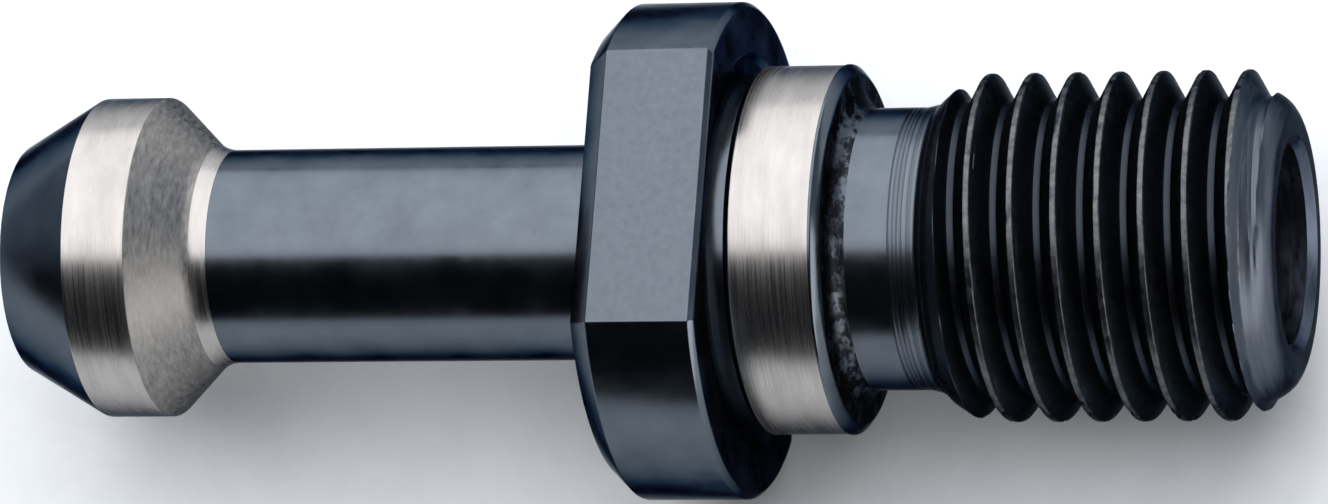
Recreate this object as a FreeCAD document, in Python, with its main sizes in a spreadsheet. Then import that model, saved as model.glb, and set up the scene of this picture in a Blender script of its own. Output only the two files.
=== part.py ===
"""Pull stud (retention knob) with a 45 degree gripping head and an M16 x 2 thread.

One piece of steel: turned, milled across two flats and threaded.  All lengths are in
millimetres.  The axis of the stud is the X axis.  The origin lies on that axis, in the
seating face of the flange: the head is on the -X side, the thread on the +X side.  The
two wrench flats face +Z and -Z.
"""
import FreeCAD, Part
import Sketcher
import math
import os

NODE = "pull_stud"

# Every driving dimension: its alias, its value and what it measures.  A "reach" runs
# along the axis from the seating face.  Angles are in degrees, from the axis.
SIZES = [
    ("head_reach", 35.0, "seating face to the end of the head"),
    ("grip_reach", 28.2, "seating face to the gripping edge, where the cone begins"),
    ("head_land", 3.0, "length of the ground band round the head"),
    ("head_diameter", 15.0, "ground band of the head"),
    ("tip_diameter", 10.6, "flat end of the head"),
    ("grip_angle", 45.0, "gripping cone"),
    ("grip_fillet", 1.7, "root of the gripping cone"),
    ("neck_diameter", 10.0, "neck between head and flange"),
    ("flange_fillet", 1.3, "root of the neck at the flange"),
    ("flange_diameter", 23.0, "round part of the flange"),
    ("flange_thickness", 6.0, "flange, seating face to head side"),
    ("flange_chamfer", 1.0, "head side of the flange"),
    ("seat_chamfer", 0.25, "rim of the seating face"),
    ("wrench_width", 19.0, "across the two wrench flats"),
    ("undercut_rim", 18.3, "where the undercut leaves the seating face"),
    ("undercut_sink", 0.25, "depth of the undercut in the seating face"),
    ("undercut_diameter", 16.4, "floor of the grinding undercut"),
    ("undercut_width", 1.0, "grinding undercut, along the pilot"),
    ("pilot_diameter", 17.0, "ground pilot"),
    ("pilot_reach", 5.2, "seating face to the end of the pilot"),
    ("pilot_chamfer", 0.45, "end of the pilot"),
    ("relief_root", 0.9, "root of the relief at the pilot, turned as two bevels"),
    ("relief_diameter", 13.0, "plain relief between pilot and thread"),
    ("relief_reach", 8.5, "seating face to the end of the relief"),
    ("lead_angle", 30.0, "lead cone of the thread"),
    ("thread_diameter", 16.0, "major diameter of the thread"),
    ("thread_pitch", 2.0, "pitch of the right-hand thread"),
    ("thread_reach", 25.5, "seating face to the end face of the thread"),
    ("groove_lead", 2.15, "end of the relief back to the start of the thread groove"),
    ("nose_diameter", 14.2, "plain nose in front of the thread"),
    ("nose_land", 0.15, "plain nose between the thread and the nose's edge"),
    ("nose_edge", 1.2, "edge of the nose, turned as two bevels"),
    ("bore_diameter", 9.2, "blind bore in the thread end"),
    ("bore_depth", 12.0, "full diameter of the blind bore"),
    ("bore_chamfer", 0.4, "mouth of the blind bore"),
    ("drill_angle", 59.0, "drill point at the bottom of the bore"),
]

# An ISO metric thread, as shares of its pitch: the crest between two turns of the groove,
# the depth of the groove, and how far the cutter reaches outside the crests.
FLANK_ANGLE = 30.0
CREST_SHARE = 0.125
DEPTH_SHARE = 0.61343
OVERRUN_SHARE = 0.05

# A cut that removes less than this, in cubic millimetres, has missed the body.
LEAST_VOLUME = 1.0

document = FreeCAD.newDocument(NODE)
sheet = document.addObject("Spreadsheet::Sheet", "dim")
for row, (alias, value, meaning) in enumerate(SIZES, start=1):
    sheet.set("A%d" % row, alias)
    sheet.set("B%d" % row, str(value))
    sheet.set("C%d" % row, meaning)
    sheet.setAlias("B%d" % row, alias)
document.recompute()

body = document.addObject("PartDesign::Body", "Body")
body.Label = NODE


def size(alias):
    """The present value of a driving dimension."""
    return float(getattr(sheet, alias))


def radius(alias):
    """Half the present value of a diameter."""
    return size(alias) / 2


def run(rise, angle):
    """How far a cone runs along the axis while it rises by that much."""
    return rise / math.tan(math.radians(angle))


def origin_plane(role):
    """The body's own origin plane of that role."""
    return next(plane for plane in body.Origin.OriginFeatures if plane.Role == role)


def around(centre, distance, degrees):
    """The point at that distance and angle from a centre."""
    turn = math.radians(degrees)
    return centre[0] + distance * math.cos(turn), centre[1] + distance * math.sin(turn)


class Outline:
    """A closed chain of lines and arcs in a sketch, each corner held by dimensions.

    Edge 3 runs from corner 3 to corner 4.  An edge that is given a centre is an arc that
    turns anticlockwise.  The sketch numbers an edge's two ends and the centre of an arc.
    """

    EDGE, START, END, CENTRE = range(4)
    ORIGIN = (-1, START)
    AXIS_LINE, SEAT_LINE = -1, -2

    def __init__(self, name, role, corners, centres=None):
        self.sketch = body.newObject("Sketcher::SketchObject", name)
        self.sketch.AttachmentSupport = [(origin_plane(role), "")]
        self.sketch.MapMode = "FlatFace"
        self.corners = [FreeCAD.Vector(x, y, 0) for x, y in corners]
        self.centres = centres or {}
        edges = range(len(corners))
        following = [*edges[1:], edges[0]]
        for edge, after in zip(edges, following):
            self.sketch.addGeometry(self.curve(edge, self.corners[edge], self.corners[after]))
        for edge, after in zip(edges, following):
            self.fix("Coincident", edge, self.END, after, self.START)

    def curve(self, edge, start, end):
        """The line or the arc of an edge."""
        if edge not in self.centres:
            return Part.LineSegment(start, end)
        centre = FreeCAD.Vector(*self.centres[edge], 0)
        circle = Part.Circle(centre, FreeCAD.Vector(0, 0, 1), (start - centre).Length)
        return Part.ArcOfCircle(circle, circle.parameter(start), circle.parameter(end))

    def fix(self, kind, *arguments):
        """A constraint, and its number in the sketch."""
        return self.sketch.addConstraint(Sketcher.Constraint(kind, *arguments))

    def level(self, *lines):
        for line in lines:
            self.fix("Horizontal", line)

    def upright(self, *lines):
        for line in lines:
            self.fix("Vertical", line)

    def on_axis(self, corner):
        self.fix("PointOnObject", corner, self.START, self.AXIS_LINE)

    def on_seat(self, corner):
        self.fix("PointOnObject", corner, self.START, self.SEAT_LINE)

    def dimension(self, kind, arguments, value, expression):
        """A constraint whose value comes from the sheet."""
        index = self.fix(kind, *arguments, value)
        self.sketch.setExpression("Constraints[%d]" % index, expression)

    def measure(self, kind, first, second, expression):
        """A distance between two corners, or from the origin where a corner is None."""
        ends = []
        for corner in (first, second):
            point = self.ORIGIN if corner is None else (corner, self.START)
            place = FreeCAD.Vector() if corner is None else self.corners[corner]
            ends.append((place.x if kind == "DistanceX" else place.y, point))
        (low, low_point), (high, high_point) = sorted(ends)
        self.dimension(kind, low_point + high_point, high - low, expression)

    def along(self, first, second, expression):
        """A distance along the axis."""
        self.measure("DistanceX", first, second, expression)

    def across(self, first, second, expression):
        """A distance square to the axis."""
        self.measure("DistanceY", first, second, expression)

    def reach(self, corner, alias):
        """The corner's distance from the seating face, along the axis."""
        self.along(None, corner, "dim." + alias)

    def radius(self, corner, alias):
        """The corner's distance from the axis, from a diameter in the sheet."""
        self.across(None, corner, "dim.%s / 2" % alias)

    def bevel(self, first, second, alias):
        """A 45 degree edge between two corners."""
        self.along(first, second, "dim." + alias)
        self.across(first, second, "dim." + alias)

    def arc_radius(self, edge, alias):
        """The radius of an edge that is an arc."""
        self.dimension("Radius", (edge,), size(alias), "dim." + alias)

    def quarter(self, corner, alias):
        """A quarter turn of two equal steps, arcs or bevels, that begins at a corner."""
        middle = corner + 1
        end = middle + 1
        step = self.corners[middle] - self.corners[corner]
        shallow = abs(step.x) > abs(step.y)
        wide = "dim.%s * cos(45 deg)" % alias
        narrow = "dim.%s * (1 - cos(45 deg))" % alias
        self.bevel(corner, end, alias)
        self.along(corner, middle, wide if shallow else narrow)
        self.across(corner, middle, narrow if shallow else wide)
        for edge in (corner, middle):
            if edge in self.centres:
                self.arc_radius(edge, alias)


def add_feature(kind, name, **values):
    """A feature of the body: text that names the sheet is an expression."""
    feature = body.newObject(kind, name)
    for key, value in values.items():
        if isinstance(value, str) and "dim." in value:
            feature.setExpression(key, value)
        else:
            setattr(feature, key, value)
    document.recompute()
    return feature


def must_cut(feature, before):
    """Stops if a pocket, a groove or a helix has missed the body."""
    if feature.Shape.Volume > before - LEAST_VOLUME:
        raise RuntimeError(feature.Name + " cuts nothing")


# ------------------------------------------------------------------- turned blank
def turned_blank():
    """Everything that the lathe makes, apart from the thread and the bore."""
    grip = -size("grip_reach")
    flange_back = -size("flange_thickness")
    pilot_end = size("pilot_reach")
    relief_end = size("relief_reach")
    thread_end = size("thread_reach")
    head = radius("head_diameter")
    neck = radius("neck_diameter")
    flange = radius("flange_diameter")
    undercut = radius("undercut_diameter")
    pilot = radius("pilot_diameter")
    relief = radius("relief_diameter")
    crest = radius("thread_diameter")
    nose = radius("nose_diameter")
    flange_chamfer = size("flange_chamfer")
    seat_chamfer = size("seat_chamfer")
    sink = size("undercut_sink")
    pilot_chamfer = size("pilot_chamfer")

    # Centres of the roots and of the nose's edge
    grip_angle = size("grip_angle")
    grip_fillet = size("grip_fillet")
    grip_foot = grip + run(head - neck, grip_angle)
    grip_tangent = grip_fillet * math.tan(math.radians(grip_angle / 2))
    grip_centre = (grip_foot + grip_tangent, neck + grip_fillet)
    flange_fillet = size("flange_fillet")
    flange_centre = (flange_back - flange_fillet, neck + flange_fillet)
    relief_root = size("relief_root")
    relief_centre = (pilot_end + relief_root, relief + relief_root)
    nose_edge = size("nose_edge")
    nose_centre = (thread_end - nose_edge, nose - nose_edge)
    nose_start = thread_end - nose_edge - size("nose_land")

    outline = Outline("turned_profile", "XY_Plane", [
        (-size("head_reach"), 0),
        (-size("head_reach"), radius("tip_diameter")),
        (grip - size("head_land"), head),
        (grip, head),
        around(grip_centre, grip_fillet, 270 - grip_angle),
        around(grip_centre, grip_fillet, 270),
        around(flange_centre, flange_fillet, 270),
        around(flange_centre, flange_fillet, 315),
        around(flange_centre, flange_fillet, 360),
        (flange_back, flange - flange_chamfer),
        (flange_back + flange_chamfer, flange),
        (-seat_chamfer, flange),
        (0, flange - seat_chamfer),
        (0, radius("undercut_rim")),
        (-sink, radius("undercut_rim") - sink),
        (-sink, undercut),
        (size("undercut_width") - (pilot - undercut), undercut),
        (size("undercut_width"), pilot),
        (pilot_end - pilot_chamfer, pilot),
        (pilot_end, pilot - pilot_chamfer),
        around(relief_centre, relief_root, 180),
        around(relief_centre, relief_root, 225),
        around(relief_centre, relief_root, 270),
        (relief_end, relief),
        (relief_end + run(crest - relief, size("lead_angle")), crest),
        (nose_start, crest),
        (nose_start, nose),
        around(nose_centre, nose_edge, 90),
        around(nose_centre, nose_edge, 45),
        around(nose_centre, nose_edge, 0),
        (thread_end, 0),
    ], centres={4: grip_centre, 6: flange_centre, 7: flange_centre})
    outline.level(2, 5, 10, 15, 17, 22, 24, 26)
    outline.upright(0, 8, 12, 14, 19, 25, 29)
    outline.on_axis(0)
    outline.on_axis(30)

    # Head, gripping cone and neck
    outline.reach(0, "head_reach")
    outline.radius(1, "tip_diameter")
    outline.along(2, 3, "dim.head_land")
    outline.reach(3, "grip_reach")
    outline.radius(3, "head_diameter")
    drop = ("((dim.head_diameter - dim.neck_diameter) / 2"
            " - dim.grip_fillet * (1 - cos(dim.grip_angle * 1 deg)))")
    outline.across(3, 4, drop)
    outline.along(3, 4, drop + " / tan(dim.grip_angle * 1 deg)")
    outline.arc_radius(4, "grip_fillet")
    outline.along(4, 5, "dim.grip_fillet * sin(dim.grip_angle * 1 deg)")
    outline.radius(5, "neck_diameter")
    # Flange and grinding undercut
    outline.quarter(6, "flange_fillet")
    outline.reach(8, "flange_thickness")
    outline.bevel(9, 10, "flange_chamfer")
    outline.radius(10, "flange_diameter")
    outline.bevel(11, 12, "seat_chamfer")
    outline.on_seat(12)
    outline.radius(13, "undercut_rim")
    outline.bevel(13, 14, "undercut_sink")
    outline.radius(15, "undercut_diameter")
    outline.along(16, 17, "(dim.pilot_diameter - dim.undercut_diameter) / 2")
    outline.reach(17, "undercut_width")
    # Pilot and relief
    outline.radius(17, "pilot_diameter")
    outline.bevel(18, 19, "pilot_chamfer")
    outline.reach(19, "pilot_reach")
    outline.quarter(20, "relief_root")
    outline.radius(22, "relief_diameter")
    outline.reach(23, "relief_reach")
    # Thread blank and nose
    outline.radius(24, "thread_diameter")
    outline.along(23, 24, "(dim.thread_diameter - dim.relief_diameter) / 2"
                          " / tan(dim.lead_angle * 1 deg)")
    outline.along(26, 27, "dim.nose_land")
    outline.radius(26, "nose_diameter")
    outline.quarter(27, "nose_edge")
    outline.reach(30, "thread_reach")
    document.recompute()
    add_feature(
        "PartDesign::Revolution", "turning",
        Profile=outline.sketch, ReferenceAxis=(outline.sketch, ["H_Axis"]), Angle=360.0,
    )


# -------------------------------------------------------------------- wrench flats
def wrench_flats():
    """A flat milled across the flange, with a chamfer along both edges, and its mirror."""
    # In a sketch on the XZ plane, the first axis is X and the second is Z.
    outside = size("flange_diameter")
    flat = radius("wrench_width")
    flange_back = -size("flange_thickness")
    chamfer = size("flange_chamfer")
    seat_chamfer = size("seat_chamfer")
    outline = Outline("flat_profile", "XZ_Plane", [
        (flange_back, flat - chamfer),
        (flange_back + chamfer, flat),
        (-seat_chamfer, flat),
        (0, flat - seat_chamfer),
        (0, outside),
        (flange_back, outside),
    ])
    outline.level(1, 4)
    outline.upright(3, 5)
    outline.reach(0, "flange_thickness")
    outline.bevel(0, 1, "flange_chamfer")
    outline.radius(1, "wrench_width")
    outline.bevel(2, 3, "seat_chamfer")
    outline.on_seat(3)
    outline.across(None, 4, "dim.flange_diameter")
    document.recompute()
    before = body.Shape.Volume
    pocket = add_feature(
        "PartDesign::Pocket", "upper_flat", Profile=outline.sketch,
        Midplane=True, Length="2 * dim.flange_diameter",
    )
    must_cut(pocket, before)
    before = body.Shape.Volume
    mirrored = add_feature(
        "PartDesign::Mirrored", "lower_flat",
        Originals=[pocket], MirrorPlane=(origin_plane("XY_Plane"), [""]),
    )
    body.Tip = mirrored
    document.recompute()
    must_cut(mirrored, before)


# ---------------------------------------------------------------------- blind bore
def blind_bore():
    """A drilled bore in the thread end, with its drill point and a chamfered mouth."""
    end = size("thread_reach")
    bore = radius("bore_diameter")
    mouth = size("bore_chamfer")
    bottom = end - size("bore_depth")
    outline = Outline("bore_profile", "XY_Plane", [
        (bottom - run(bore, size("drill_angle")), 0),
        (end, 0),
        (end, bore + mouth),
        (end - mouth, bore),
        (bottom, bore),
    ])
    outline.on_axis(0)
    outline.on_axis(1)
    outline.upright(1)
    outline.level(3)
    outline.reach(1, "thread_reach")
    outline.bevel(2, 3, "bore_chamfer")
    outline.radius(3, "bore_diameter")
    outline.along(1, 4, "dim.bore_depth")
    outline.along(0, 4, "dim.bore_diameter / 2 / tan(dim.drill_angle * 1 deg)")
    document.recompute()
    before = body.Shape.Volume
    groove = add_feature(
        "PartDesign::Groove", "blind_bore",
        Profile=outline.sketch, ReferenceAxis=(outline.sketch, ["H_Axis"]), Angle=360.0,
    )
    must_cut(groove, before)


# -------------------------------------------------------------------------- thread
def groove_share(rise):
    """Half the groove's width where it is so far outside the crests, all in pitches."""
    return (1 - CREST_SHARE) / 2 + rise * math.tan(math.radians(FLANK_ANGLE))


def thread_groove():
    """The groove of the thread, swept along its helix from the relief past the end."""
    pitch = size("thread_pitch")
    start = size("relief_reach") - size("groove_lead")
    root = radius("thread_diameter") - DEPTH_SHARE * pitch
    top = radius("thread_diameter") + OVERRUN_SHARE * pitch
    root_share = groove_share(-DEPTH_SHARE)
    top_share = groove_share(OVERRUN_SHARE)
    outline = Outline("groove_profile", "XY_Plane", [
        (start - root_share * pitch, root),
        (start + root_share * pitch, root),
        (start + top_share * pitch, top),
        (start - top_share * pitch, top),
    ])
    outline.level(0, 2)
    place = "dim.relief_reach - dim.groove_lead - dim.thread_pitch * %.6f"
    outline.along(None, 0, place % root_share)
    outline.along(0, 1, "dim.thread_pitch * %.6f" % (2 * root_share))
    outline.along(None, 3, place % top_share)
    outline.along(3, 2, "dim.thread_pitch * %.6f" % (2 * top_share))
    outline.across(None, 0, "dim.thread_diameter / 2 - dim.thread_pitch * %.5f" % DEPTH_SHARE)
    outline.across(None, 2, "dim.thread_diameter / 2 + dim.thread_pitch * %.5f" % OVERRUN_SHARE)
    document.recompute()
    before = body.Shape.Volume
    helix = body.newObject("PartDesign::SubtractiveHelix", "thread")
    helix.Profile = outline.sketch
    helix.ReferenceAxis = (outline.sketch, ["H_Axis"])
    helix.Mode = 0
    helix.LeftHanded = False
    helix.setExpression("Pitch", "dim.thread_pitch")
    helix.setExpression("Height", "dim.thread_reach - dim.relief_reach + dim.groove_lead"
                                  " + dim.thread_pitch")
    document.recompute()
    must_cut(helix, before)


def check():
    """Stops if any feature failed or the solid is not one valid solid."""
    for thing in document.Objects:
        if {"Invalid", "Error"} & set(thing.State):
            raise RuntimeError("%s is %s" % (thing.Label, thing.State))
    shape = body.Shape
    if shape.isNull() or not shape.isValid() or len(shape.Solids) != 1:
        raise RuntimeError(NODE + " is not one valid solid")


turned_blank()
wrench_flats()
blind_bore()
thread_groove()
check()

os.makedirs("parts", exist_ok=True)
body.Shape.exportStep(os.path.join("parts", NODE + ".step"))
centre_of_mass = body.Shape.Solids[0].CenterOfMass
print("%s: %.0f mm3, centre of mass at x = %.2f mm" % (
    NODE, body.Shape.Volume, centre_of_mass.x))
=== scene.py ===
# %% [markdown]
# # A pull stud for a 40 taper
# The stud is one piece of steel, turned on a lathe, threaded, milled with two flats and
# blackened, with two bands ground bright afterwards. This lesson builds it from three
# closed meshes that meet at its sharp corners, and finishes each surface as it was made.

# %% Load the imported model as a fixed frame
import math

import bmesh
import bpy
from mathutils import Matrix, Vector, noise


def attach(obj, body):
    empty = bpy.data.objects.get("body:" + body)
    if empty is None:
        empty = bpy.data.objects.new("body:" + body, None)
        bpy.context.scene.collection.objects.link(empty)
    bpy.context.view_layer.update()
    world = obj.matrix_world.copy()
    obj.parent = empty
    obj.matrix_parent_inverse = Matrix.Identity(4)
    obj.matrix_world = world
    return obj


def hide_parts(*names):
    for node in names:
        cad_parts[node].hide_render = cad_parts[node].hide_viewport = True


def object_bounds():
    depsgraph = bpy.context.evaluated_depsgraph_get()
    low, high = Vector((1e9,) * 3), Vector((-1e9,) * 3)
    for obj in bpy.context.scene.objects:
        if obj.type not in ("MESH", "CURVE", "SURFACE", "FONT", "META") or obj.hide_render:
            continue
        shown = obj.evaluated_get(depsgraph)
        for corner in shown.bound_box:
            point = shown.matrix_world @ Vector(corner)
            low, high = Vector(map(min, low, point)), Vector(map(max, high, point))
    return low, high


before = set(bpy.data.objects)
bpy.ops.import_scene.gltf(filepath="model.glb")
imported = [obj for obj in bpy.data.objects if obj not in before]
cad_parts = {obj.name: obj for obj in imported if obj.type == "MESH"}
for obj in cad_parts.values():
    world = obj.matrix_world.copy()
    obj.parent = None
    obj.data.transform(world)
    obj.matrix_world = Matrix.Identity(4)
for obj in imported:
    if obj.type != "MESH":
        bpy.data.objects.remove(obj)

cad_low, cad_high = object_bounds()
MM = 0.001
print("CAD box, mm:", [round(v / MM, 2) for v in (*cad_low, *cad_high)])

# %% [markdown]
# ## The sizes
# The long axis is X. Zero is the flange's seating face, the thread points to +X and the
# gripped head to -X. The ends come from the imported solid's own box, and the rest are the
# turning sizes of the stud in millimetres, the same as in its source.

# %% Sizes along and across the axis
STUD_END = cad_high.x / MM
HEAD_END = cad_low.x / MM
FLAT_HEIGHT = cad_high.z / MM
FLANGE_RADIUS = cad_high.y / MM
FLANGE_BACK = -6.0
BAND_START, BAND_END = -31.2, -28.2
HEAD_RADIUS, TIP_RADIUS, NECK_RADIUS = 7.5, 5.3, 5.0
CONE_END, BRIGHT_ROOT = -25.0, 0.75
PILOT_START, PILOT_GROUND, PILOT_END, PILOT_RADIUS = 1.0, 4.74, 5.2, 8.5
RELIEF_END, RELIEF_RADIUS = 8.5, 6.5
RINGS_START, RING_STEP, RING_DEPTH = 7.9, 0.09, 0.02
CORE_RADIUS, UNDERCUT_RADIUS, FLANGE_ROOT, RIM_STEP = 5.8, 8.2, 1.3, 0.05
CREST_RADIUS, PITCH = 8.0, 2.0
BORE_RADIUS, BORE_DEPTH = 4.6, 12.0
STEPS = 288
print("overall length, mm:", round(STUD_END - HEAD_END, 2))


# %% [markdown]
# ## Turning: a profile and one spin
# A lathe makes every surface of the shank by turning, so the mesh is made the same way: half
# of the outline as a chain of edges, its corners rounded with the bevel operator, and one
# full spin about X. The spin merges its last step onto its first, and the points on the axis
# are merged after it, which closes the two ends.

# %% Helpers for a profile, its corners and its mesh
def chain(bm, points):
    """A chain of edges through (x, radius) points in mm, in the plane of X and Y."""
    verts = [bm.verts.new((x * MM, r * MM, 0)) for x, r in points]
    for pair in zip(verts, verts[1:]):
        bm.edges.new(pair)
    return verts


def round_corner(bm, vert, reach, segments):
    """Rounds one corner of a profile, reach mm back along both its sides."""
    bmesh.ops.bevel(bm, geom=[vert], offset=reach * MM, offset_type="OFFSET",
                    affect="VERTICES", segments=segments, profile=0.5,
                    clamp_overlap=True, material=-1)


def turn_on_lathe(bm):
    """Spins a profile once round X and closes it."""
    bmesh.ops.spin(bm, geom=bm.verts[:] + bm.edges[:], cent=(0, 0, 0), axis=(1, 0, 0),
                   dvec=(0, 0, 0), angle=2 * math.pi, steps=STEPS, use_merge=True)
    close_and_turn_out(bm)


def close_and_turn_out(bm):
    """Merges doubles and points every face outwards."""
    bmesh.ops.remove_doubles(bm, verts=bm.verts[:], dist=0.0002 * MM)
    bmesh.ops.recalc_face_normals(bm, faces=bm.faces[:])


def radius_of(co):
    """Distance from the stud's axis, in mm."""
    return math.hypot(co.y, co.z) / MM


# %% [markdown]
# The profile runs from the tip of the head to the end of the relief, where the tool left a
# few rings deep enough to see. The gripping cone
# meets the neck in a root of 1.7 mm radius and the neck meets the flange in one of 1.3 mm.
# The blackened rim of the pilot stands a few hundredths above the ground band, because
# the wheel took a little off the band only. Inside the flange the profile just runs through.

# %% Turn the shank
shank = bmesh.new()
points = chain(shank, [
    (HEAD_END, 0), (HEAD_END, TIP_RADIUS), (BAND_START, HEAD_RADIUS),
    (BAND_END, HEAD_RADIUS), (BAND_END + HEAD_RADIUS - NECK_RADIUS, NECK_RADIUS),
    (FLANGE_BACK, NECK_RADIUS), (FLANGE_BACK, NECK_RADIUS + FLANGE_ROOT),
    (FLANGE_BACK + 0.4, NECK_RADIUS + FLANGE_ROOT), (FLANGE_BACK + 0.6, CORE_RADIUS),
    (-0.6, CORE_RADIUS), (-0.5, UNDERCUT_RADIUS), (0.7, UNDERCUT_RADIUS),
    (PILOT_START, PILOT_RADIUS), (PILOT_GROUND - 0.03, PILOT_RADIUS),
    (PILOT_GROUND, PILOT_RADIUS + RIM_STEP), (PILOT_END - 0.36, PILOT_RADIUS + RIM_STEP),
    (PILOT_END, PILOT_RADIUS - 0.42), (PILOT_END, RELIEF_RADIUS),
    *[(RINGS_START + RING_STEP * i, RELIEF_RADIUS - RING_DEPTH * (i % 2)) for i in range(6)],
    (RELIEF_END, RELIEF_RADIUS),
    (RELIEF_END + 0.1, RELIEF_RADIUS - 0.3), (RELIEF_END + 0.1, 0),
])
CORNERS = [(1, 0.12, 3), (2, 0.05, 2), (3, 0.06, 2), (4, 0.7, 10), (5, FLANGE_ROOT, 12),
           (12, 0.05, 2), (15, 0.08, 2), (16, 0.1, 2), (17, 0.9, 8)]
for number, reach, segments in CORNERS:
    round_corner(shank, points[number], reach, segments)
turn_on_lathe(shank)
print("shank faces:", len(shank.faces))

# %% [markdown]
# ## The flange
# The flange is a turned disc, with a large chamfer at its back, a small one at the seating
# face, and a shallow groove sunk round the pilot so that the grinding wheel can reach the
# corner. It is spun as the lathe makes it. The two flats for a wrench are milled afterwards
# with a cutter that chamfers their edges too, so the mesh is cut the same way: one plane for
# the flat, one for each chamfer, and each cut is filled with a face of its own.

# %% Turn the flange and mill its flats
BACK_CHAMFER, SEAT_CHAMFER = 1.0, 0.25
SUNK_RADIUS, SUNK_DEPTH = 9.15, 0.25
flange = bmesh.new()
chain(flange, [
    (FLANGE_BACK, 0), (FLANGE_BACK, FLANGE_RADIUS - BACK_CHAMFER),
    (FLANGE_BACK + BACK_CHAMFER, FLANGE_RADIUS), (-SEAT_CHAMFER, FLANGE_RADIUS),
    (0, FLANGE_RADIUS - SEAT_CHAMFER), (0, SUNK_RADIUS),
    (-SUNK_DEPTH, SUNK_RADIUS - SUNK_DEPTH), (-SUNK_DEPTH, 0),
])
turn_on_lathe(flange)


def mill(bm, x, z, way):
    """Cuts away what lies beyond the plane through (x, 0, z) mm, and fills the cut."""
    bmesh.ops.bisect_plane(bm, geom=bm.verts[:] + bm.edges[:] + bm.faces[:],
                           dist=0.0001 * MM, plane_co=(x * MM, 0, z * MM), plane_no=way,
                           clear_outer=True)
    bmesh.ops.holes_fill(bm, edges=[e for e in bm.edges if e.is_boundary], sides=0)


for side in (1, -1):
    mill(flange, 0, side * FLAT_HEIGHT, (0, 0, side))
    mill(flange, FLANGE_BACK + BACK_CHAMFER, side * FLAT_HEIGHT, (-1, 0, side))
    mill(flange, -SEAT_CHAMFER, side * FLAT_HEIGHT, (1, 0, side))
bmesh.ops.remove_doubles(flange, verts=flange.verts[:], dist=0.03 * MM)
corners = [e for e in flange.edges if e.calc_face_angle(0) > math.radians(15)]
bmesh.ops.bevel(flange, geom=corners, offset=0.05 * MM, offset_type="OFFSET", affect="EDGES",
                segments=2, profile=0.5, clamp_overlap=True, material=-1)
close_and_turn_out(flange)
print("flange faces:", len(flange.faces))

# %% [markdown]
# ## The thread
# A single-point tool cuts the thread: one groove wound along the shank, 2 mm to a turn. One
# pitch of the outline is spun ten turns, and every step also moves along X, so the strip
# winds beside itself and its edges merge. Then the strip is pressed into the blank's own
# outline, which is what makes the thread run in from the cone and fade out at the nose.

# %% Wind the thread
TURNS, TURN_STEPS = 10, 120
GROOVE_START = 6.35
DEPTH_SHARE = 0.61343
ROOT_RADIUS = CREST_RADIUS - DEPTH_SHARE * PITCH
CREST_HALF, ROOT_HALF = PITCH / 16, PITCH / 12
thread = bmesh.new()
points = chain(thread, [
    (GROOVE_START - PITCH / 2, CREST_RADIUS),
    (GROOVE_START - PITCH / 2 + CREST_HALF, CREST_RADIUS),
    (GROOVE_START - ROOT_HALF, ROOT_RADIUS), (GROOVE_START + ROOT_HALF, ROOT_RADIUS),
    (GROOVE_START + PITCH / 2 - CREST_HALF, CREST_RADIUS),
    (GROOVE_START + PITCH / 2, CREST_RADIUS),
])
for number, reach in ((1, 0.05), (2, 0.1), (3, 0.1), (4, 0.05)):
    round_corner(thread, points[number], reach, 2)
flanks = [e for e in thread.edges if e.calc_length() > 0.5 * MM]
bmesh.ops.subdivide_edges(thread, edges=flanks, cuts=14)
bmesh.ops.spin(thread, geom=thread.verts[:] + thread.edges[:], cent=(0, 0, 0), axis=(1, 0, 0),
               dvec=(PITCH / TURN_STEPS * MM, 0, 0), angle=2 * math.pi * TURNS,
               steps=TURN_STEPS * TURNS, use_merge=False)
bmesh.ops.remove_doubles(thread, verts=thread.verts[:], dist=0.002 * MM)
print("thread winds from", round(min(v.co.x for v in thread.verts) / MM, 2),
      "to", round(max(v.co.x for v in thread.verts) / MM, 2), "mm")

# %% [markdown]
# The blank leaves the relief gently, climbs steeply to the crests, and ends in a rounded nose
# below them. Handling leaves small nicks on the sharp crests, which are drawn with a smooth
# noise that has a fixed pattern, so that every run gives the same stud.

# %% Press the thread into the blank's outline
NOSE_SEAM = 24.94
NICK_GRAIN, NICK_LEVEL, NICK_DEPTH, NICK_FLOOR = 1.7, 0.32, 0.22, 7.8
BLANK = [(RELIEF_END - 4, RELIEF_RADIUS), (RELIEF_END, RELIEF_RADIUS), (9.2, 6.66),
         (9.9, 7.28), (11.0, CREST_RADIUS), (23.9, CREST_RADIUS), (24.22, 7.2),
         (24.45, 7.06), (24.7, 6.93), (NOSE_SEAM, 6.765), (25.6, 6.2), (40, 6.0)]


def blank_radius(x):
    """The blank's radius at x, both in mm."""
    for (x0, r0), (x1, r1) in zip(BLANK, BLANK[1:]):
        if x <= x1:
            return r0 + (r1 - r0) * (x - x0) / (x1 - x0)
    return BLANK[-1][1]


for v in thread.verts:
    x, r = v.co.x / MM, radius_of(v.co)
    nick = max(0.0, noise.noise(v.co / MM * NICK_GRAIN) - NICK_LEVEL) * NICK_DEPTH
    wanted = min(r - nick if r > NICK_FLOOR else r, blank_radius(x))
    v.co.y *= wanted / r
    v.co.z *= wanted / r
for x, ends in ((RELIEF_END, {"clear_inner": True}), (NOSE_SEAM, {"clear_outer": True})):
    bmesh.ops.bisect_plane(thread, geom=thread.verts[:] + thread.edges[:] + thread.faces[:],
                           dist=0.0001 * MM, plane_co=(x * MM, 0, 0), plane_no=(1, 0, 0), **ends)
print("thread faces:", len(thread.faces))

# %% [markdown]
# ## The nose and the drilled end
# The open edge at the nose is carried on ring by ring: round the nose, across the end face,
# over a small chamfer and down the hole to the point that the drill leaves. The rings keep
# the thread's own points, so the mesh stays closed. The other end is capped inside the shank.

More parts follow.
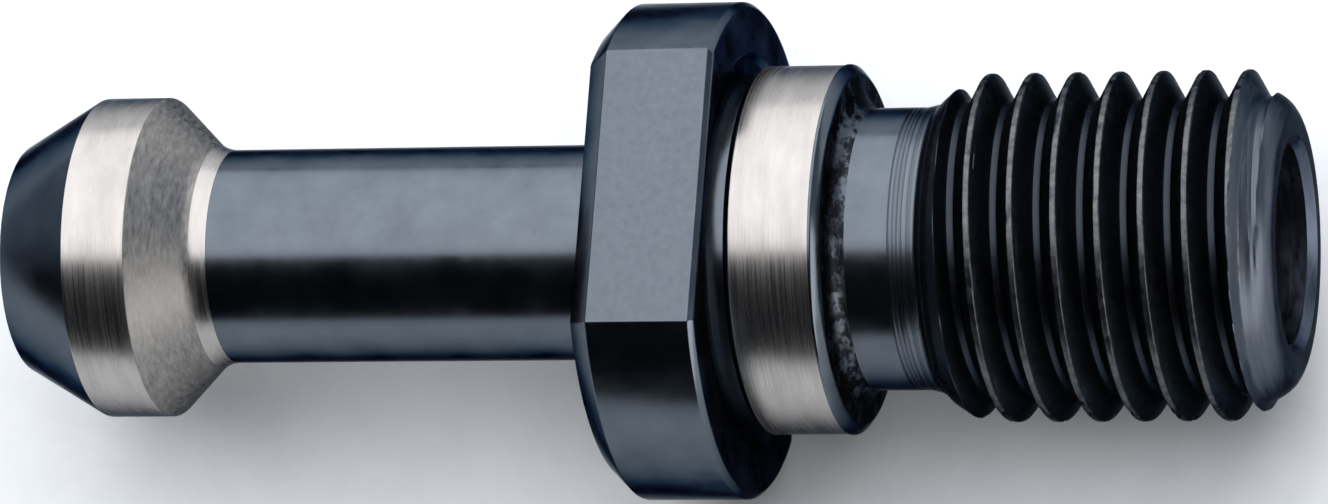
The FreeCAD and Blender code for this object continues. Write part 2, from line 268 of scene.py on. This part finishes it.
# %% Carry the edge over the nose and down the hole
MOUTH_CHAMFER, DRILL_HALF_ANGLE = 0.4, 59
DRILL_POINT = BORE_RADIUS / math.tan(math.radians(DRILL_HALF_ANGLE))
RINGS = [(25.15, 6.57), (25.32, 6.32), (25.43, 6.08), (25.49, 5.88), (STUD_END, 5.75),
         (STUD_END, BORE_RADIUS + MOUTH_CHAMFER + 0.03),
         (STUD_END - 0.03, BORE_RADIUS + MOUTH_CHAMFER),
         (STUD_END - MOUTH_CHAMFER, BORE_RADIUS), (STUD_END - BORE_DEPTH, BORE_RADIUS),
         (STUD_END - BORE_DEPTH - DRILL_POINT, 0)]
for x, r in RINGS:
    edge = [e for e in thread.edges if e.is_boundary and e.verts[0].co.x > 10 * MM]
    new = bmesh.ops.extrude_edge_only(thread, edges=edge)["geom"]
    for v in (v for v in new if isinstance(v, bmesh.types.BMVert)):
        angle = math.atan2(v.co.z, v.co.y)
        v.co = Vector((x, r * math.cos(angle), r * math.sin(angle))) * MM
        if r == 0:
            v.co = Vector((x * MM, 0, 0))
    bmesh.ops.remove_doubles(thread, verts=[v for v in thread.verts if radius_of(v.co) < 0.01],
                             dist=0.01 * MM)
bmesh.ops.holes_fill(thread, edges=[e for e in thread.edges if e.is_boundary], sides=0)
close_and_turn_out(thread)
print("open edges left:", sum(e.is_boundary for b in (shank, flange, thread) for e in b.edges))

# %% [markdown]
# ## Finishes
# All of it is the same alloy steel. What differs is what was done to the skin last: most is
# blackened and oiled, the head's land, its cone and the pilot are ground bright, and the
# flats, the thread and the hole show their own tool marks through the black. A node helper
# keeps each finish short, and every pattern's scale comes from a real size in millimetres.


# %% Node and colour helpers
def colour(code):
    """An sRGB hex colour as Blender's linear colour."""
    parts = [int(code[i:i + 2], 16) / 255 for i in (1, 3, 5)]
    return (*[p / 12.92 if p <= 0.04045 else ((p + 0.055) / 1.055) ** 2.4 for p in parts], 1)


def add(tree, kind, settings=(), links=()):
    """Adds a node; settings set its properties or inputs, links join its inputs."""
    node = tree.nodes.new(kind)
    for key, value in dict(settings).items():
        if isinstance(key, int) or key in node.inputs:
            node.inputs[key].default_value = value
        else:
            setattr(node, key, value)
    for key, (source, output) in dict(links).items():
        tree.links.new(source.outputs[output], node.inputs[key])
    return node


def start(name, settings):
    """A new material with its shader set, and the object's own coordinates."""
    material = bpy.data.materials.new(name)
    material.use_nodes = True
    tree = material.node_tree
    tree.nodes.clear()
    shader = add(tree, "ShaderNodeBsdfPrincipled", settings)
    add(tree, "ShaderNodeOutputMaterial", {}, {"Surface": (shader, "BSDF")})
    return material, tree, shader, add(tree, "ShaderNodeTexCoord")


def marks(tree, where, scale, detail=4.0, rough=0.6):
    """Noise whose grain is one over scale, in mm, along X, Y and Z."""
    at = add(tree, "ShaderNodeMapping", {"Scale": tuple(1000 * s for s in scale)},
             {"Vector": (where, "Object")})
    return add(tree, "ShaderNodeTexNoise",
               {"Scale": 1.0, "Detail": detail, "Roughness": rough}, {"Vector": (at, "Vector")})


def tones(tree, source, dark, light, low=0.3, high=0.7):
    """Turns a noise into a blend of two colours."""
    ramp = add(tree, "ShaderNodeValToRGB", {}, {"Fac": (source, 0)})
    for element, place, code in zip(ramp.color_ramp.elements, (low, high), (dark, light)):
        element.position = place
        element.color = colour(code)
    return ramp


def spread(tree, source, low, high):
    """Turns a noise into a range of numbers, such as roughness."""
    return add(tree, "ShaderNodeMapRange",
               {"From Min": 0.3, "From Max": 0.7, "To Min": low, "To Max": high},
               {"Value": (source, 0)})


def finish_with(tree, shader, tone, gloss, height, depth):
    """Joins colour, roughness and a bump of depth mm to the shader."""
    bump = add(tree, "ShaderNodeBump", {"Strength": 1.0, "Distance": depth * MM},
               {"Height": (height, 0)})
    tree.links.new(tone.outputs[0], shader.inputs["Base Color"])
    tree.links.new(gloss.outputs[0], shader.inputs["Roughness"])
    tree.links.new(bump.outputs[0], shader.inputs["Normal"])


# %% [markdown]
# **Black oxide on turned steel.** Hot blackening turns the skin to magnetite, a dark
# blue-black that still reflects as metal, and oil makes it satin. The lathe leaves rings
# 0.12 mm apart; they are a function of X and only a little of Y and Z, so they go round.

# %% Black oxide on turned steel
OXIDE = {"Metallic": 1.0, "Specular Tint": colour("#626D77")}
oxide, tree, shader, where = start("black_oxide_turned_steel", OXIDE)
rings = marks(tree, where, (8.0, 0.12, 0.12))
cloud = marks(tree, where, (0.5, 0.5, 0.5), 5.0)
finish_with(tree, shader, tones(tree, cloud, "#555B62", "#62686F"),
            spread(tree, cloud, 0.17, 0.25), rings, 0.0014)

# %% [markdown]
# **The torn corner.** Where the shank drops from the pilot to the relief, the tool tore the
# steel instead of cutting it clean, and left ragged dark patches of about a millimetre.

# %% Torn corner beside the pilot
torn, tree, shader, where = start("black_oxide_torn_corner", OXIDE)
rags = marks(tree, where, (1.6, 0.9, 0.9), 8.0, 0.75)
finish_with(tree, shader, tones(tree, rags, "#222529", "#555A61", 0.48, 0.56),
            spread(tree, rags, 0.45, 0.28), rags, 0.03)

# %% [markdown]
# **The last rings.** Before the thread starts, the tool slowed and left rings 0.2 mm apart.
# They follow X alone, so they are true circles.

# %% Deep rings beside the thread
ringed, tree, shader, where = start("black_oxide_deep_rings", OXIDE)
deep = marks(tree, where, (5.0, 0.0, 0.0), 1.0)
finish_with(tree, shader, tones(tree, deep, "#3C4148", "#666B72", 0.4, 0.6),
            spread(tree, deep, 0.3, 0.24), deep, 0.02)

# %% [markdown]
# ** The nose.** The last flank and the nose keep a satin skin paler than the thread, whose dark
# colour is painted shade; the last flank faces the light beside the thread end, so it gets none.

# %% Satin nose
satin, tree, shader, where = start("black_oxide_satin_nose", OXIDE)
rings = marks(tree, where, (7.0, 0.4, 0.4), 5.0)
# a plain satin tone, without the thread's painted groove shade
finish_with(tree, shader, tones(tree, rings, "#4C5158", "#5A5F66"),
            spread(tree, rings, 0.28, 0.38), rings, 0.002)

# %% [markdown]
# **Ground steel.** The wheel takes the black off and leaves bright, slightly warm metal with
# fine lines round the band, about 0.1 mm apart, drawn just coarse enough to show.

# %% Ground bright steel
ground, tree, shader, where = start("ground_bright_steel",
                                    {"Metallic": 1.0, "Specular Tint": colour("#3E5266")})
rings = marks(tree, where, (11.0, 0.15, 0.15), 6.0)
patches = marks(tree, where, (1.2, 0.35, 0.35), 4.0)
finish_with(tree, shader, tones(tree, patches, "#A49F9B", "#B5B0AC"),
            spread(tree, rings, 0.2, 0.34), rings, 0.0012)

# %% [markdown]
# **The gripping cone.** It is ground with a coarser wheel for the gripper's fingers, so it
# is greyer and more matte, with a grain of 0.15 mm and broken rings.

# %% Matte ground cone
cone, tree, shader, where = start("matte_ground_cone_steel",
                                  {"Metallic": 1.0, "Specular Tint": colour("#4A5C6E")})
grain = marks(tree, where, (7.0, 1.6, 1.6), 6.0, 0.7)
finish_with(tree, shader, tones(tree, grain, "#6C6A68", "#9A9793"),
            spread(tree, grain, 0.34, 0.5), grain, 0.004)

# %% [markdown]
# **The milled flats.** A face mill leaves them smoother than the turned skin, and the black
# lies thinner on them, so they look lighter and bluer. Feed lines run straight along Y.

# %% Blackened milled flat
milled, tree, shader, where = start("blackened_milled_flat", OXIDE)
feed = marks(tree, where, (7.0, 0.2, 0.2), 4.0)
mottle = marks(tree, where, (2.5, 2.5, 2.5), 6.0, 0.7)
finish_with(tree, shader, tones(tree, mottle, "#565B62", "#63686F"),
            spread(tree, mottle, 0.3, 0.4), feed, 0.001)

# %% [markdown]
# ** The cut thread.** The colour follows the distance from the axis, broken by noise: a dark
# base, painted shade in the grooves, turns lighter at the crests, a painted highlight; the gloss
# follows the noise.

# %% Blackened thread with painted crest highlight and groove shade
threaded, tree, shader, where = start("blackened_cut_thread", OXIDE)
split = add(tree, "ShaderNodeSeparateXYZ", {}, {"Vector": (where, "Object")})
across = add(tree, "ShaderNodeCombineXYZ", {}, {"Y": (split, "Y"), "Z": (split, "Z")})
out = add(tree, "ShaderNodeVectorMath", {"operation": "LENGTH"}, {0: (across, "Vector")})
# painted highlight: the colour turns lighter at the crests, 7.86 to 8.02 mm from the axis
crest_highlight = add(tree, "ShaderNodeMapRange",
           {"From Min": 7.86 * MM, "From Max": 8.02 * MM, "To Min": 0.0, "To Max": 0.5},
           {"Value": (out, "Value")})
speck = marks(tree, where, (2.2, 2.2, 2.2), 6.0, 0.7)
speckled_crest_highlight = add(tree, "ShaderNodeMath", {"operation": "MULTIPLY"},
             {0: (crest_highlight, "Result"), 1: (speck, 0)})
rings = marks(tree, where, (9.0, 0.5, 0.5), 5.0)
# 33373D is painted shade in the grooves, #858482 the painted highlight on the crests
finish_with(tree, shader, tones(tree, speckled_crest_highlight, "#33373D", "#858482", 0.12, 0.42),
            spread(tree, speck, 0.28, 0.42), rings, 0.0025)

# %% [markdown]
# **The drilled hole.** A drill leaves spiral scores that stay under the black.

# %% Blackened drilled hole
drilled, tree, shader, where = start("blackened_drilled_hole", OXIDE)
scores = marks(tree, where, (4.0, 0.8, 0.8), 5.0)
finish_with(tree, shader, tones(tree, scores, "#474C57", "#5C6370"),
            spread(tree, scores, 0.26, 0.4), scores, 0.004)
print("finishes:", [m.name for m in bpy.data.materials if m.use_nodes])

# %% [markdown]
# ## Put the pieces in place
# Each mesh already holds its place, so its object stays at the origin. The faces take
# their finish from where they are: along the axis on the shank, by which way they look on
# the flange, and by their distance from the axis at the threaded end.


# %% Make the objects
def piece(name, bm, finishes, choose):
    """Gives each face its finish, makes the object and lets it ride on the stud's body."""
    for face in bm.faces:
        middle = face.calc_center_median()
        face.material_index = choose(middle.x / MM, radius_of(middle), face.normal)
    mesh = bpy.data.meshes.new(name)
    bm.to_mesh(mesh)
    bm.free()
    mesh.shade_smooth()
    mesh.set_sharp_from_angle(angle=math.radians(24))
    made = bpy.data.objects.new(name, mesh)
    for finish in finishes:
        mesh.materials.append(finish)
    bpy.context.scene.collection.objects.link(made)
    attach(made, "root")
    print(name, "has", len(mesh.polygons), "faces")
    return made


def shank_finish(x, r, normal):
    """0 black, 1 ground, 2 matte cone, 3 torn corner, 4 deep rings."""
    if 7.85 < x < RELIEF_END:
        return 4
    if PILOT_END - 0.02 < x < PILOT_END + 0.8 and r < 7.7:
        return 3
    if BAND_START < x < BAND_END or (PILOT_START < x < PILOT_GROUND and r > 8.4):
        return 1
    if BAND_END <= x < CONE_END - BRIGHT_ROOT:
        return 2
    return 1 if CONE_END - BRIGHT_ROOT <= x < CONE_END else 0


turned = piece("turned_shank", shank, [oxide, ground, cone, torn, ringed], shank_finish)
piece("wrench_flange", flange, [oxide, milled],
      lambda x, r, normal: 1 if abs(normal.z) > 0.999 else 0)


def end_finish(x, r, normal):
    """0 thread, 1 hole, 2 last flank and nose, 3 deep rings."""
    if x < 9.6 and r > blank_radius(x) - 0.03:
        return 3
    if r < BORE_RADIUS + 0.35 and x < STUD_END - 0.02:
        return 1
    # the last flank, facing the light beside the thread end, is left out of the thread's painted
    # shade
    return 2 if x > 24.1 or (x > 23.2 and normal.x > 0.3) else 0


piece("threaded_end", thread, [threaded, drilled, satin, ringed], end_finish)
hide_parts("pull_stud")

# %% [markdown]
# ## The camera
# The stud is seen with its thread end turned about 15 degrees toward the viewer and rolled
# so that one flat faces up and forward. The camera's three directions are worked out from
# those angles, and the long lens stands about 0.4 m away.

# %% Camera
TURN, RISE, ROLL = math.radians(15.227), math.radians(0.640), math.radians(71.62)
DISTANCE, SIDE, UP, SLIDE = 384.4, 33.287, 0.387, -30.226
SENSOR, FOCAL_SHARE = 36.0, 8493.4 / 1328
axis = Vector((math.cos(TURN) * math.cos(RISE), math.cos(TURN) * math.sin(RISE), math.sin(TURN)))
rise = (Vector((0, 1, 0)) - axis * axis.y).normalized()
near = axis.cross(rise)
y_way = math.sin(ROLL) * rise - math.cos(ROLL) * near
z_way = math.cos(ROLL) * rise + math.sin(ROLL) * near
turn = Matrix((axis, y_way, z_way))
seat = Vector((SIDE, UP, -DISTANCE)) + SLIDE * axis
camera = bpy.data.objects.new("camera", bpy.data.cameras.new("camera"))
camera.matrix_world = Matrix.Translation(turn @ -seat * MM) @ turn.to_4x4()
camera.data.sensor_width = SENSOR
camera.data.lens = FOCAL_SHARE * SENSOR
camera.data.clip_start = 0.01
camera.data.dof.use_dof = False
bpy.context.scene.collection.objects.link(camera)
bpy.context.scene.camera = camera
print("camera at, mm:", [round(v / MM, 1) for v in camera.location])

# %% [markdown]
# ## Floor and light
# The stud lies on its lower flat on a plain pale floor. One large soft light hangs above
# and just over the viewer, so turned steel shows it as a broad satin band that ends at the
# middle. A small one low beside the thread end reaches the gripping cone and the nose. The
# rest of the room is dim, paler behind the stud than in front of it.

# %% Floor
floor_mesh = bmesh.new()
bmesh.ops.create_grid(floor_mesh, x_segments=8, y_segments=8, size=1.5,
                      matrix=Matrix.Translation((0, 0, cad_low.z)))
mesh = bpy.data.meshes.new("floor")
floor_mesh.to_mesh(mesh)
floor_mesh.free()
floor = bpy.data.objects.new("floor", mesh)
paper, tree, shader, where = start("pale_paper_floor", {"Roughness": 0.9,
                                                        "Specular IOR Level": 0.1})
fibre = marks(tree, where, (0.4, 0.4, 0.4), 3.0)
tree.links.new(tones(tree, fibre, "#EFF0F2", "#F5F6F7").outputs[0], shader.inputs["Base Color"])
mesh.materials.append(paper)
bpy.context.scene.collection.objects.link(floor)

# %% Lights and world
up_way = math.cos(ROLL) * Vector((0, 0, 1)) + math.sin(ROLL) * Vector((0, 1, 0))
near_way = math.sin(ROLL) * Vector((0, 0, 1)) - math.cos(ROLL) * Vector((0, 1, 0))


def softbox(name, direction, distance, width, height, power):
    """A soft light that faces the stud's middle, with its long side along the stud."""
    data = bpy.data.lights.new(name, "AREA")
    data.shape = "RECTANGLE"
    data.size, data.size_y = width, height
    data.energy = power
    lamp = bpy.data.objects.new(name, data)
    back = direction.normalized()
    along = Vector((1, 0, 0)) if abs(back.x) < 0.5 else Vector((0, 0, 1)).cross(back).normalized()
    lamp.matrix_world = (Matrix.Translation(back * distance)
                         @ Matrix((along, back.cross(along), back)).transposed().to_4x4())
    lamp.visible_camera = False
    bpy.context.scene.collection.objects.link(lamp)
    return lamp


KEY_SHIFT = -0.11
key = softbox("key_light", 0.79 * up_way + 0.62 * near_way, 0.34, 0.74, 0.9, 3.9)
key.location.x += KEY_SHIFT
softbox("side_light", 0.85 * Vector((1, 0, 0)) - 0.35 * up_way + 0.27 * near_way,
        0.26, 0.3, 0.16, 0.42)
world = bpy.data.worlds.new("studio")
bpy.context.scene.world = world
world.use_nodes = True
tree = world.node_tree
tree.nodes.clear()
way = add(tree, "ShaderNodeTexCoord")
facing = add(tree, "ShaderNodeVectorMath", {"operation": "DOT_PRODUCT", 1: tuple(up_way)},
             {0: (way, "Generated")})
share = add(tree, "ShaderNodeMapRange", {"From Min": -1.0, "From Max": 1.0},
            {"Value": (facing, "Value")})
room = add(tree, "ShaderNodeValToRGB", {}, {"Fac": (share, "Result")})
for element, place, code in zip(room.color_ramp.elements, (0.42, 0.62), ("#14181E", "#8E9BAC")):
    element.position = place
    element.color = colour(code)
sky = add(tree, "ShaderNodeBackground", {"Strength": 1.0}, {"Color": (room, "Color")})
add(tree, "ShaderNodeOutputWorld", {}, {"Surface": (sky, "Background")})
bpy.context.scene.view_settings.view_transform = "Standard"
